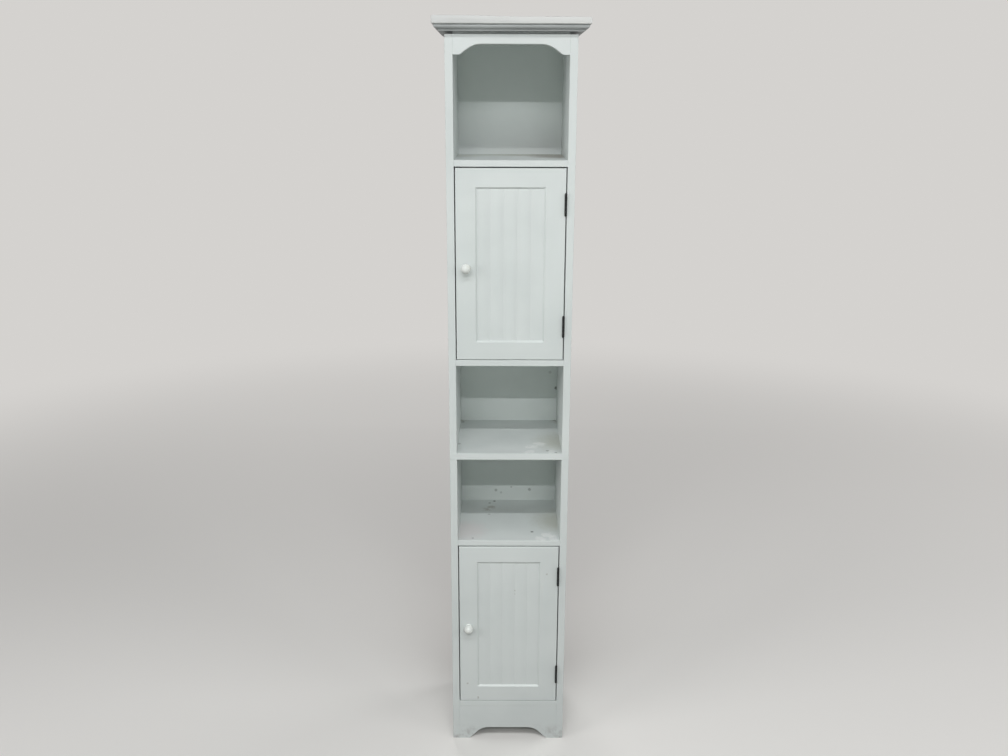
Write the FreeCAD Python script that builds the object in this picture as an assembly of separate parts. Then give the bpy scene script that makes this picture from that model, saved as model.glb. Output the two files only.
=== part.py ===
"""Tall narrow bathroom cabinet in painted board: two stacked units with an inset beadboard door each.

Built in millimetres from the front face (y = 0, into the cabinet is +y) and the floor (z = 0).
Every piece is then moved back so that the origin is the middle of the footprint, knobs included.
"""
import FreeCAD
import Part
import math
import os

V = FreeCAD.Vector
X_AXIS = V(1, 0, 0)
Y_AXIS = V(0, 1, 0)
Z_AXIS = V(0, 0, 1)

# ---- carcass ----
WIDTH = 300.0              # outside of the two sides
SIDE_T = 18.0
SHELF_T = 15.0
MIDDLE_T = 17.0
INNER_DEPTH = 264.0        # front face to the face of the back panel
BACK_T = 3.0
REBATE_W = 9.0             # rebate in the sides that takes the back panel
DEPTH = INNER_DEPTH + BACK_T
EASE = 1.0                 # rounding of sawn board edges

# ---- heights of the board faces above the floor ----
BOTTOM_TOP = 117.0
LOWER_BAY_FLOOR = 596.5
MIDDLE_TOP = 836.5
CUPBOARD_FLOOR_TOP = 1080.0
TOP_BAY_FLOOR = 1558.4
CARCASS_TOP = 1833.0
CROWN_GAP = 6.0            # the crown stands clear of the sides by this much

TOP_PANEL_T = 18.0

# ---- crown ----
SLAB_T = 14.5
SLAB_OVER = 27.5           # overhang at the front and both ends
SLAB_EASE = 1.2
MOULDING_T = 14.5
MOULDING_TOP_OVER = 21.5
MOULDING_LOW_OVER = 13.0

# ---- arched front pieces ----
APRON_T = 15.0
VALANCE_DROP = 43.0
VALANCE_LEDGE = 115.5      # half-width where the ledges end and the arch starts
VALANCE_RISE = 22.0
VALANCE_RADIUS = 58.0
VALANCE_SLOPE = 36.0       # degrees of the straight stretch beside each ledge
PLINTH_LEDGE = 104.0       # half-width where the feet end and the arch starts
PLINTH_RISE = 32.7
PLINTH_RADIUS = 42.0
PLINTH_SLOPE = 45.0
ARCH_EASE = 1.2

# ---- doors ----
DOOR_W = 259.0
DOOR_H = 459.0
DOOR_T = 16.0
LOWER_DOOR_Z = 119.0
UPPER_DOOR_Z = 1081.5
DOOR_ROUND = 1.5
STILE_FLAT = 46.5          # flat face of a stile, without its sloped edge
RAIL_FLAT = 43.5
STICKING = 4.0             # sloped edge round the panel, as wide as it is deep
PANEL_T = 6.0
GROOVE_DEPTH = 8.0
PANEL_PLAY = 0.5
BEAD_PITCH = 32.4
BEAD_GROOVES = 4
BEAD_V_W = 3.0
BEAD_V_D = 1.5

# ---- knobs ----
KNOB_X = -105.0
KNOB_BELOW_MIDDLE = 3.0
KNOB_R = 12.0
KNOB_REACH = 28.0          # front of the ball from the door face
KNOB_FOOT_R = 7.5
KNOB_FOOT_T = 1.2
KNOB_NECK_R = 5.0
KNOB_SCREW_R = 2.0

# ---- butt hinges ----
HINGE_H = 50.0
HINGE_INSET = 83.5         # middle of a hinge from the end of its door
PIN_X = 129.2
PIN_Y = -3.5
PIN_R = 1.75
PIN_CLEARANCE = 0.05
LEAF_T = 1.2
LEAF_REACH = 15.5
LEAF_START = 0.5
KNUCKLES = 5               # first, third and last on the fixed leaf
KNUCKLE_GAP = 0.2
KNUCKLE_R = 3.0
PIN_TIP = 2.4
MORTISE = 1.0
HINGE_SCREW_Z = 16.0
HINGE_SCREW_Y = 8.0

# ---- fittings ----
DOWEL_SIDES = 6            # flats that stand for the round of a small piece
SHELF_PIN_SIDES = 6
SCREW_SIDES = 8
KNOB_SIDES = 16
BARREL_SIDES = 10
DOWEL_R = 4.0
DOWEL_L = 30.0
DOWEL_IN_SIDE = 11.0
DOWEL_YS = (40.0, 224.0)
STACK_DOWEL_L = 50.0
DOWEL_UP = 6.5             # dowels above the underside of their board
STAPLE_W = 10.0
STAPLE_WIRE = 1.2
STAPLE_LEG = 14.0
STAPLE_STEP = 300.0
SHELF_PIN_R = 2.5
SHELF_PIN_YS = (60.0, 220.0)
SHELF_PIN_IN_SIDE = 9.0
SHELF_PIN_OUT = 8.0
PIN_ROW_STEP = 32.0
INNER_SHELF_FRONT = 24.0
INNER_SHELF_PLAY = 1.0
INNER_SHELF_REAR_PLAY = 2.0

# ---- magnetic catches ----
CATCH_X = -98.0
CATCH_W = 28.0
CATCH_EAR = 9.0
CATCH_EAR_T = 2.5
CATCH_H = 16.0
CATCH_D = 15.0
CATCH_FRONT = 18.4
POLE_DROP = 9.0            # middle of the magnet below the board that carries the catch
POLE_T = 1.2
POLE_GAP = 0.3
MAGNET_T = 4.4
STRIKE_T = 1.2
STRIKE_H = 10.0
STRIKE_W = 36.0

# ---- worked out ----
HALF = WIDTH / 2
INSIDE = HALF - SIDE_T
ORIGIN_Y = (DEPTH - KNOB_REACH) / 2
PANEL_FACE = STICKING
BOARDS = {
    "bottom_board": BOTTOM_TOP,
    "lower_bay_shelf": LOWER_BAY_FLOOR,
    "upper_cupboard_floor": CUPBOARD_FLOOR_TOP,
    "top_bay_shelf": TOP_BAY_FLOOR,
}
CROWN_BOTTOM = CARCASS_TOP + CROWN_GAP
SLAB_BOTTOM = CROWN_BOTTOM + MOULDING_T
MIDDLE_BOTTOM = MIDDLE_TOP - MIDDLE_T
DOORS = {"upper": UPPER_DOOR_Z, "lower": LOWER_DOOR_Z}
CEILINGS = {"upper": TOP_BAY_FLOOR - SHELF_T, "lower": LOWER_BAY_FLOOR - SHELF_T}
FLOORS = {"upper": CUPBOARD_FLOOR_TOP, "lower": BOTTOM_TOP}


def box(x0, x1, y0, y1, z0, z1):
    return Part.makeBox(x1 - x0, y1 - y0, z1 - z0, V(x0, y0, z0))


def turned(profile, sides, start, direction):
    """Turned piece with flat sides, which keeps the many small round pieces light.

    The profile is a list of (radius, distance from start along direction).
    """
    rings = []
    for radius, distance in profile:
        ring = []
        for i in range(sides):
            angle = 2 * math.pi * (i + 0.5) / sides
            ring.append(V(radius * math.cos(angle), radius * math.sin(angle), distance))
        rings.append(ring)
    faces = [face_from(rings[0]), face_from(rings[-1])]
    for low, high in zip(rings, rings[1:]):
        for i in range(sides):
            after = (i + 1) % sides
            faces.append(face_from([low[i], low[after], high[after], high[i]]))
    piece = Part.Solid(Part.Shell(faces))
    if piece.Volume < 0:
        piece.reverse()
    piece.Placement = FreeCAD.Placement(start, FreeCAD.Rotation(Z_AXIS, direction))
    return piece


def peg(radius, length, start, direction, sides=DOWEL_SIDES):
    return turned([(radius, 0), (radius, length)], sides, start, direction)


def round_edges(shape, radius, wanted):
    """Rounds the edges whose middle point and direction the function wanted accepts."""
    edges = [e for e in shape.Edges if wanted(e)]
    return shape.makeFillet(radius, edges)


def middle(edge):
    return edge.valueAt((edge.FirstParameter + edge.LastParameter) / 2)


def runs_along(edge, axis):
    if edge.Curve.TypeId != "Part::GeomLine":
        return False
    ends = edge.Vertexes
    along = (ends[1].Point - ends[0].Point).normalize()
    return abs(along.dot(axis)) > 0.999


def face_from(points):
    """A face bounded by straight lines through the points."""
    return Part.Face(Part.makePolygon(points + [points[0]]))


def profile_face(edges):
    return Part.Face(Part.Wire(edges))


def export(name, shape):
    moved = shape.copy()
    moved.translate(V(0, -ORIGIN_Y, 0))
    moved.exportStep("parts/" + name + ".step")


def export_group(name, solids):
    export(name, Part.makeCompound(solids))


# ---------------------------------------------------------------- fasteners
def board_undersides():
    """Undersides of the boards that are fixed between the sides."""
    lows = [top - SHELF_T for top in BOARDS.values()]
    return lows + [CROWN_BOTTOM - TOP_PANEL_T]


def make_cross_dowels():
    """Dowels at the ends of the fixed boards, the valance and the plinth apron."""
    places = []
    for low in board_undersides():
        for y in DOWEL_YS:
            places.append((y, low + DOWEL_UP))
    for z in (CARCASS_TOP - 31, CARCASS_TOP - 12, 41, 81):
        places.append((APRON_T / 2, z))
    dowels = []
    for y, z in places:
        for hand in (-1, 1):
            start = V(hand * (INSIDE + DOWEL_IN_SIDE), y, z)
            dowels.append(peg(DOWEL_R, DOWEL_L, start, V(-hand, 0, 0)))
    return dowels


def make_stacking_dowels():
    """Longer dowels through the middle board that locate the upper unit on the lower one."""
    dowels = []
    start_z = MIDDLE_TOP - MIDDLE_T / 2 - STACK_DOWEL_L / 2
    for hand in (-1, 1):
        for y in DOWEL_YS:
            start = V(hand * (HALF - SIDE_T / 2), y, start_z)
            dowels.append(peg(DOWEL_R, STACK_DOWEL_L, start, Z_AXIS))
    return dowels


def make_screw(point, direction, head_r, head_h, shank_r, length, countersunk):
    """Screw with its head's outer face at point; direction is the way it drives."""
    if countersunk:
        profile = [(head_r, 0), (shank_r, head_h), (shank_r, head_h + length)]
        return turned(profile, SCREW_SIDES, point, direction)
    head = peg(head_r, head_h, point, direction, SCREW_SIDES)
    shank = peg(shank_r, length, point + direction * head_h, direction, SCREW_SIDES)
    return head.fuse(shank).removeSplitter()


def make_crown_screws():
    """Screws up through the top panel that hold both crown boards."""
    screws = []
    for x in (-100.0, 100.0):
        for y in (60.0, 200.0):
            point = V(x, y, CROWN_BOTTOM - TOP_PANEL_T)
            screws.append(make_screw(point, Z_AXIS, 4.0, 2.5, 2.0, 38.0, True))
    return screws


def make_staple(x, z, across):
    """Staple driven flush into the back; across is the direction of its crown."""
    half = STAPLE_W / 2
    inner = half - STAPLE_WIRE
    outline = [
        (-half, 0), (half, 0), (half, STAPLE_LEG), (inner, STAPLE_LEG), (inner, STAPLE_WIRE),
        (-inner, STAPLE_WIRE), (-inner, STAPLE_LEG), (-half, STAPLE_LEG),
    ]
    centre = V(x, DEPTH, z)
    points = [centre + across * a - Y_AXIS * deep for a, deep in outline]
    width = across.cross(Y_AXIS) * STAPLE_WIRE
    return face_from(points).extrude(width)


def make_back_staples():
    """Staples through the back panels into the sides and into the edges of the boards."""
    staples = []
    in_rebate = INSIDE + REBATE_W / 2
    for bottom, top in ((BOTTOM_TOP - SHELF_T, MIDDLE_BOTTOM), (MIDDLE_TOP, CARCASS_TOP)):
        span = top - bottom - 60
        count = round(span / STAPLE_STEP)
        for i in range(count + 1):
            for hand in (-1, 1):
                staples.append(make_staple(hand * in_rebate, bottom + 30 + i * span / count, Z_AXIS))
    for low in board_undersides():
        staples.append(make_staple(0, low + DOWEL_UP, X_AXIS))
    return staples


# ---------------------------------------------------------------- carcass boards
def shelf_board(top):
    """Fixed board between the sides, its front edge flush and eased."""
    board = box(-INSIDE, INSIDE, 0, INNER_DEPTH, top - SHELF_T, top)

    def front(edge):
        return runs_along(edge, X_AXIS) and middle(edge).y < 0.1

    return round_edges(board, EASE, front)


def side_board(hand, bottom, top):
    """Side of a unit: rebated for the back panel, front corners eased."""
    outer = hand * HALF
    inner = hand * INSIDE
    board = box(min(outer, inner), max(outer, inner), 0, DEPTH, bottom, top)
    rebate = box(-INSIDE - REBATE_W, INSIDE + REBATE_W, INNER_DEPTH, DEPTH, bottom, top)

    def front(edge):
        return runs_along(edge, Z_AXIS) and middle(edge).y < 0.1

    return round_edges(board.cut(rebate), EASE, front)


def make_middle_board():
    """Full-width board between the two units."""
    board = box(-HALF, HALF, 0, DEPTH, MIDDLE_BOTTOM, MIDDLE_TOP)

    def front(edge):
        return runs_along(edge, X_AXIS) and middle(edge).y < 0.1

    return round_edges(board, EASE, front)


def make_top_panel():
    """Panel behind the valance that stands proud of the sides and carries the crown."""
    return box(-INSIDE, INSIDE, APRON_T, INNER_DEPTH, CROWN_BOTTOM - TOP_PANEL_T, CROWN_BOTTOM)


def back_panel(bottom, top):
    reach = INSIDE + REBATE_W
    return box(-reach, reach, INNER_DEPTH, DEPTH, bottom, top)


def line(a, b):
    return Part.LineSegment(V(a[0], 0, a[1]), V(b[0], 0, b[1])).toShape()


def arc(a, between, b):
    return Part.Arc(V(a[0], 0, a[1]), V(between[0], 0, between[1]), V(b[0], 0, b[1])).toShape()


def mirrored(point):
    return (-point[0], point[1])


def make_arched_front(low, top, ledge, rise, slope_deg, radius):
    """Board between the sides, cut away below: ledge, straight slope, arc and a flat middle."""
    slope = math.radians(slope_deg)
    foot = (ledge, low)
    straight_rise = rise - radius * (1 - math.cos(slope))
    straight_end = (ledge - straight_rise / math.tan(slope), low + straight_rise)
    crest_x = straight_end[0] - radius * math.sin(slope)
    crest = (crest_x, low + rise)
    between = (
        crest_x + radius * math.sin(slope / 2),
        low + rise - radius * (1 - math.cos(slope / 2)),
    )
    side_top = (INSIDE, top)
    side_low = (INSIDE, low)
    right = [
        line(side_top, side_low),
        line(side_low, foot),
        line(foot, straight_end),
        arc(straight_end, between, crest),
    ]
    left = [
        arc(mirrored(crest), mirrored(between), mirrored(straight_end)),
        line(mirrored(straight_end), mirrored(foot)),
        line(mirrored(foot), mirrored(side_low)),
        line(mirrored(side_low), mirrored(side_top)),
    ]
    edges = right + [line(crest, mirrored(crest))] + left + [line(mirrored(side_top), side_top)]
    board = profile_face(edges).extrude(V(0, APRON_T, 0))

    def arch_arris(edge):
        point = middle(edge)
        return point.y < 0.1 and abs(point.x) < ledge and low < point.z < top - 0.1

    return board.makeChamfer(ARCH_EASE, [edge for edge in board.Edges if arch_arris(edge)])


def make_valance():
    """Arched board under the crown."""
    low = CARCASS_TOP - VALANCE_DROP
    return make_arched_front(
        low, CARCASS_TOP, VALANCE_LEDGE, VALANCE_RISE, VALANCE_SLOPE, VALANCE_RADIUS
    )


def make_plinth_apron():
    """Front of the plinth: a foot at each side joined by a low flat arch."""
    top = BOTTOM_TOP - SHELF_T
    return make_arched_front(0, top, PLINTH_LEDGE, PLINTH_RISE, PLINTH_SLOPE, PLINTH_RADIUS)


# ---------------------------------------------------------------- crown
def moulding_profile(inside):
    """Board end, from the overhang at the right to a plain edge the distance inside to the left.

    The overhang has a fillet, a step, a swelling curve and a quirk under the slab.
    """
    fillet_top = V(MOULDING_LOW_OVER, 0, 4.5)
    step = V(19.0, 0, 5.0)
    swell = V(22.2, 0, 7.8)
    swell_top = V(23.5, 0, 12.0)
    quirk = V(MOULDING_TOP_OVER, 0, 12.6)
    corners = [
        quirk,
        V(MOULDING_TOP_OVER, 0, MOULDING_T),
        V(-inside, 0, MOULDING_T),
        V(-inside, 0, 0),
        V(MOULDING_LOW_OVER, 0, 0),
        fillet_top,
        step,
    ]
    edges = [Part.LineSegment(a, b).toShape() for a, b in zip(corners, corners[1:])]
    edges.append(Part.Arc(step, swell, swell_top).toShape())
    edges.append(Part.LineSegment(swell_top, quirk).toShape())
    return profile_face(edges)


def make_crown_moulding():
    """One board with its edge routed on the front and both ends, the runs meeting as mitres."""
    run = 3 * WIDTH
    right_end = moulding_profile(HALF).extrude(V(0, run, 0))
    right_end.translate(V(HALF, -run / 2, CROWN_BOTTOM))
    both_ends = right_end.fuse(right_end.mirror(V(0, 0, 0), X_AXIS)).removeSplitter()
    front = moulding_profile(DEPTH).extrude(V(0, run, 0))
    front.translate(V(0, -run / 2, CROWN_BOTTOM))
    front.rotate(V(0, 0, 0), Z_AXIS, -90)
    return both_ends.common(front)


def make_crown_slab():
    board = box(-HALF - SLAB_OVER, HALF + SLAB_OVER, -SLAB_OVER, DEPTH, SLAB_BOTTOM, SLAB_BOTTOM + SLAB_T)

    return board.makeChamfer(SLAB_EASE, [edge for edge in board.Edges if middle(edge).y < DEPTH - 0.1])


# ---------------------------------------------------------------- doors
def frame_section(outer, flat):
    """Section of a door frame piece as (across, depth), from its outer edge at outer inwards.

    The face is flat, then slopes down to the panel; a groove behind the slope takes the panel.
    """
    inward = -1 if outer > 0 else 1
    flat_end = outer + inward * flat
    inner = flat_end + inward * STICKING
    groove = inner - inward * GROOVE_DEPTH
    return [
        (outer, 0),
        (flat_end, 0),
        (inner, PANEL_FACE),
        (groove, PANEL_FACE),
        (groove, PANEL_FACE + PANEL_T),
        (inner, PANEL_FACE + PANEL_T),
        (inner, DOOR_T),
        (outer, DOOR_T),
    ]


def door_envelope(door_z):
    """Whole door as a block with its front arrises rounded, which trims the frame pieces."""
    block = box(-DOOR_W / 2, DOOR_W / 2, 0, DOOR_T, door_z, door_z + DOOR_H)

    def front(edge):
        return middle(edge).y < 0.1

    return round_edges(block, DOOR_ROUND, front)


def make_stile(hand, door_z):
    points = [V(x, y, door_z) for x, y in frame_section(hand * DOOR_W / 2, STILE_FLAT)]
    stile = face_from(points).extrude(V(0, 0, DOOR_H))
    return stile.common(door_envelope(door_z))


def make_rail(hand, door_z, stiles):
    """Rail coped over the slope of the stiles, with a tongue in each stile's groove."""
    reach = DOOR_W / 2 - STILE_FLAT - STICKING + GROOVE_DEPTH
    middle_z = door_z + DOOR_H / 2
    section = frame_section(hand * DOOR_H / 2, RAIL_FLAT)
    points = [V(-reach, y, middle_z + z) for z, y in section]
    rail = face_from(points).extrude(V(2 * reach, 0, 0)).common(door_envelope(door_z))
    for stile in stiles:
        rail = rail.cut(stile)
    return max(rail.Solids, key=lambda solid: solid.Volume)


def make_panel(door_z):
    """Beadboard panel: flat back, V grooves between the boards on the face."""
    in_groove = GROOVE_DEPTH - PANEL_PLAY - STICKING
    half_w = DOOR_W / 2 - STILE_FLAT + in_groove
    half_h = DOOR_H / 2 - RAIL_FLAT + in_groove
    low = door_z + DOOR_H / 2 - half_h
    back = PANEL_FACE + PANEL_T
    points = [V(half_w, back, low), V(-half_w, back, low), V(-half_w, PANEL_FACE, low)]
    for i in range(BEAD_GROOVES):
        x = (i - (BEAD_GROOVES - 1) / 2) * BEAD_PITCH
        points.append(V(x - BEAD_V_W / 2, PANEL_FACE, low))
        points.append(V(x, PANEL_FACE + BEAD_V_D, low))
        points.append(V(x + BEAD_V_W / 2, PANEL_FACE, low))
    points.append(V(half_w, PANEL_FACE, low))
    return face_from(points).extrude(V(0, 0, 2 * half_h))


def knob_place(door_z):
    return V(KNOB_X, 0, door_z + DOOR_H / 2 - KNOB_BELOW_MIDDLE)


def make_knob(door_z):
    """Turned knob: a thin foot, a waisted neck and a ball."""
    profile = [(KNOB_FOOT_R, 0), (KNOB_FOOT_R, KNOB_FOOT_T), (KNOB_NECK_R + 0.5, KNOB_FOOT_T + 1.6)]
    start = math.asin(KNOB_NECK_R / KNOB_R)
    steps = 7
    for i in range(steps + 1):
        angle = start + (math.radians(173) - start) * i / steps
        profile.append((KNOB_R * math.sin(angle), KNOB_REACH - KNOB_R - KNOB_R * math.cos(angle)))
    return turned(profile, KNOB_SIDES, knob_place(door_z), V(0, -1, 0))


def make_knob_screw(door_z):
    """Machine screw from the inside of the door into the knob."""
    head_h = 2.4
    start = knob_place(door_z) + V(0, DOOR_T + head_h, 0)
    return make_screw(start, V(0, -1, 0), 4.2, head_h, KNOB_SCREW_R, DOOR_T + 12.0, False)


# ---------------------------------------------------------------- hinges
def barrel_bar(radius, length, low):
    """Upright bar on the hinge axis."""
    return peg(radius, length, V(PIN_X, PIN_Y, low), Z_AXIS, BARREL_SIDES)


def make_leaf(plate_x, first, tongue_y, bore_r, middle_z):
    """Leaf with its plate at plate_x and every second knuckle of the barrel, counted from first."""
    low = middle_z - HINGE_H / 2
    pitch = HINGE_H / KNUCKLES
    height = pitch - KNUCKLE_GAP
    leaf = box(plate_x, plate_x + LEAF_T, LEAF_START, LEAF_REACH, low, low + HINGE_H)
    for index in range(first, KNUCKLES, 2):
        start = low + index * pitch + KNUCKLE_GAP / 2
        tongue = box(plate_x, plate_x + LEAF_T, tongue_y, LEAF_START, start, start + height)
        knuckle = barrel_bar(KNUCKLE_R, height, start).cut(barrel_bar(bore_r, height, start))
        leaf = leaf.fuse(tongue).fuse(knuckle)
    return leaf.removeSplitter()


def make_fixed_leaf(middle_z):
    """Leaf on the inside of the cabinet's side; its knuckles turn on the pin."""
    bore_r = (PIN_R + PIN_CLEARANCE) / math.cos(math.pi / BARREL_SIDES)
    return make_leaf(INSIDE - LEAF_T, 0, PIN_Y + 1.0, bore_r, middle_z)


def make_moving_leaf(middle_z):
    """Leaf let into the edge of the door; its knuckles grip the pin."""
    return make_leaf(DOOR_W / 2 - MORTISE, 1, PIN_Y + 1.9, PIN_R, middle_z)


def make_mortise(middle_z):
    """Recess in the edge of the door that takes the moving leaf."""
    low = middle_z - HINGE_H / 2
    return box(DOOR_W / 2 - MORTISE, DOOR_W, -1.0, LEAF_REACH, low, low + HINGE_H)


def make_pin(middle_z):
    """Hinge pin with a domed tip above and below the barrel."""
    end = HINGE_H / 2
    pin = barrel_bar(PIN_R, HINGE_H, middle_z - end)
    dome = []
    for degrees in (0, 45, 75):
        angle = math.radians(degrees)
        dome.append((PIN_TIP * math.cos(angle), PIN_TIP * math.sin(angle)))
    for hand in (-1, 1):
        centre = V(PIN_X, PIN_Y, middle_z + hand * end)
        pin = pin.fuse(turned(dome, BARREL_SIDES, centre, Z_AXIS * hand))
    return pin.removeSplitter()


def leaf_screws(face_x, drive, middle_z, length):
    """Countersunk screws of a leaf; face_x is the face that their heads lie flush with."""
    screws = []
    for dz in (-HINGE_SCREW_Z, HINGE_SCREW_Z):
        point = V(face_x, HINGE_SCREW_Y, middle_z + dz)
        screws.append(make_screw(point, V(drive, 0, 0), 3.0, LEAF_T, 1.6, length, True))
    return screws


def hinge_heights(door_z):
    return {"top": door_z + DOOR_H - HINGE_INSET, "bottom": door_z + HINGE_INSET}


# ---------------------------------------------------------------- catches
def make_catch_case(ceiling):
    """Case of a magnetic catch under a board, with a screwed ear at each end."""
    half = CATCH_W / 2
    low = ceiling - CATCH_H
    back = CATCH_FRONT + CATCH_D
    ear_reach = half + CATCH_EAR
    case = box(CATCH_X - half, CATCH_X + half, CATCH_FRONT, back, low, ceiling)
    low_edges = [edge for edge in case.Edges if middle(edge).z < low + 0.1]
    ears = box(
        CATCH_X - ear_reach, CATCH_X + ear_reach, CATCH_FRONT + 3, back - 3, ceiling - CATCH_EAR_T, ceiling
    )
    return case.makeChamfer(1.2, low_edges).fuse(ears).removeSplitter()


def catch_layer(ceiling, front, low_offset, thickness):
    """One layer of the magnet stack, measured up from the middle of the magnet."""
    low = ceiling - POLE_DROP + low_offset
    return box(CATCH_X - 9, CATCH_X + 9, front, CATCH_FRONT + 11, low, low + thickness)


def make_catch_magnet(ceiling):
    return catch_layer(ceiling, CATCH_FRONT + 0.4, -MAGNET_T / 2, MAGNET_T)


def make_pole_plates(ceiling):
    """Steel plates above and below the magnet that stand just out of the case."""
    front = DOOR_T + STRIKE_T + POLE_GAP
    offsets = (-MAGNET_T / 2 - POLE_T, MAGNET_T / 2)
    return [catch_layer(ceiling, front, offset, POLE_T) for offset in offsets]


def make_catch_screws(ceiling):
    screws = []
    head_h = 1.6
    offset = (CATCH_W + CATCH_EAR) / 2
    for x in (CATCH_X - offset, CATCH_X + offset):
        point = V(x, CATCH_FRONT + CATCH_D / 2, ceiling - CATCH_EAR_T - head_h)
        screws.append(make_screw(point, Z_AXIS, 2.8, head_h, 1.4, CATCH_EAR_T + 10, False))
    return screws


def make_strike_screw(ceiling):
    point = V(CATCH_X, DOOR_T + STRIKE_T, ceiling - POLE_DROP)
    return make_screw(point, V(0, -1, 0), 2.6, STRIKE_T, 1.5, 9.0, True)


def make_strike_plate(ceiling):
    """Steel plate on the inside of the door that the catch holds."""
    low = ceiling - POLE_DROP - STRIKE_H / 2
    half = STRIKE_W / 2
    plate = box(CATCH_X - half, CATCH_X + half, DOOR_T, DOOR_T + STRIKE_T, low, low + STRIKE_H)
    corners = [edge for edge in plate.Edges if runs_along(edge, Y_AXIS)]
    return plate.makeChamfer(2.0, corners).cut(make_strike_screw(ceiling))


# ---------------------------------------------------------------- inner shelves
def inner_shelf_low(door):
    """Underside of the loose shelf at half the height of a cupboard."""
    return (FLOORS[door] + CEILINGS[door] - SHELF_T) / 2


def make_inner_shelf(door):
    low = inner_shelf_low(door)
    half = INSIDE - INNER_SHELF_PLAY
    back = INNER_DEPTH - INNER_SHELF_REAR_PLAY
    board = box(-half, half, INNER_SHELF_FRONT, back, low, low + SHELF_T)

    def front(edge):
        return runs_along(edge, X_AXIS) and middle(edge).y < INNER_SHELF_FRONT + 0.1

    return board.makeChamfer(EASE, [edge for edge in board.Edges if front(edge)])


def pin_pegs(steps, inner_end):
    """Pegs in the rows of shelf-pin holes, at whole steps from the pins under the shelves."""
    half_flat_height = SHELF_PIN_R * math.cos(math.pi / SHELF_PIN_SIDES)
    pegs = []
    for door in DOORS:
        for step in steps:
            z = inner_shelf_low(door) - half_flat_height + step * PIN_ROW_STEP
            for hand in (-1, 1):
                for y in SHELF_PIN_YS:
                    start = V(hand * (INSIDE + SHELF_PIN_IN_SIDE), y, z)
                    length = SHELF_PIN_IN_SIDE + inner_end
                    pegs.append(peg(SHELF_PIN_R, length, start, V(-hand, 0, 0), SHELF_PIN_SIDES))
    return pegs


def make_shelf_pins():
    """Four plain pins under each loose shelf."""
    return pin_pegs((0,), SHELF_PIN_OUT)


def spare_pin_holes():
    """Empty holes one step above and one below each shelf pin."""
    return pin_pegs((-1, 1), 0)


# ---------------------------------------------------------------- assembly
def drilled(board, cutters):
    """The board with every cutter near it taken away."""
    near = [cutter for cutter in cutters if cutter.BoundBox.intersect(board.BoundBox)]
    return board.cut(near) if near else board


def build_hinges(door):
    """Exports the leaves and pins of a door; returns the screws in the side and in the door."""
    side_screws = []
    door_screws = []
    pins = []
    for place, z in hinge_heights(DOORS[door]).items():
        own_side = leaf_screws(INSIDE - LEAF_T, 1, z, 11.0)
        own_door = leaf_screws(DOOR_W / 2 - MORTISE + LEAF_T, -1, z, 14.0)
        name = door + "_door_" + place + "_hinge_"
        export(name + "fixed_leaf", drilled(make_fixed_leaf(z), own_side))
        export(name + "moving_leaf", drilled(make_moving_leaf(z), own_door))
        side_screws += own_side
        door_screws += own_door
        pins.append(make_pin(z))
    export_group(door + "_door_hinge_pins", pins)
    export_group(door + "_door_hinge_screws", door_screws)
    return side_screws, door_screws


def build_door(door, door_screws):
    """Exports the frame, panel, knob and strike plate of a door."""
    door_z = DOORS[door]
    name = door + "_door_"
    knob_screw = make_knob_screw(door_z)
    strike_screw = make_strike_screw(CEILINGS[door])
    hinge_stile = make_stile(1, door_z)
    knob_stile = make_stile(-1, door_z)
    for rail, hand in (("top_rail", 1), ("bottom_rail", -1)):
        export(name + rail, make_rail(hand, door_z, (hinge_stile, knob_stile)))
    mortises = [make_mortise(z) for z in hinge_heights(door_z).values()]
    export(name + "hinge_stile", drilled(hinge_stile, mortises + door_screws))
    export(name + "knob_stile", drilled(knob_stile, [knob_screw, strike_screw]))
    export(name + "beadboard_panel", make_panel(door_z))
    export(name + "knob", make_knob(door_z).cut(knob_screw))
    export(name + "knob_screw", knob_screw)
    export(name + "strike_plate", make_strike_plate(CEILINGS[door]))
    export(name + "strike_screw", strike_screw)


def build_catches():
    """Exports both magnetic catches and returns their screws."""
    magnets = []
    poles = []
    screws = []
    for door, ceiling in CEILINGS.items():
        inside = [make_catch_magnet(ceiling)] + make_pole_plates(ceiling)
        own_screws = make_catch_screws(ceiling)
        export(door + "_catch_case", drilled(make_catch_case(ceiling), inside + own_screws))
        magnets.append(inside[0])
        poles += inside[1:]
        screws += own_screws
    export_group("catch_magnets", magnets)
    export_group("catch_pole_plates", poles)
    export_group("catch_screws", screws)
    return screws


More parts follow.
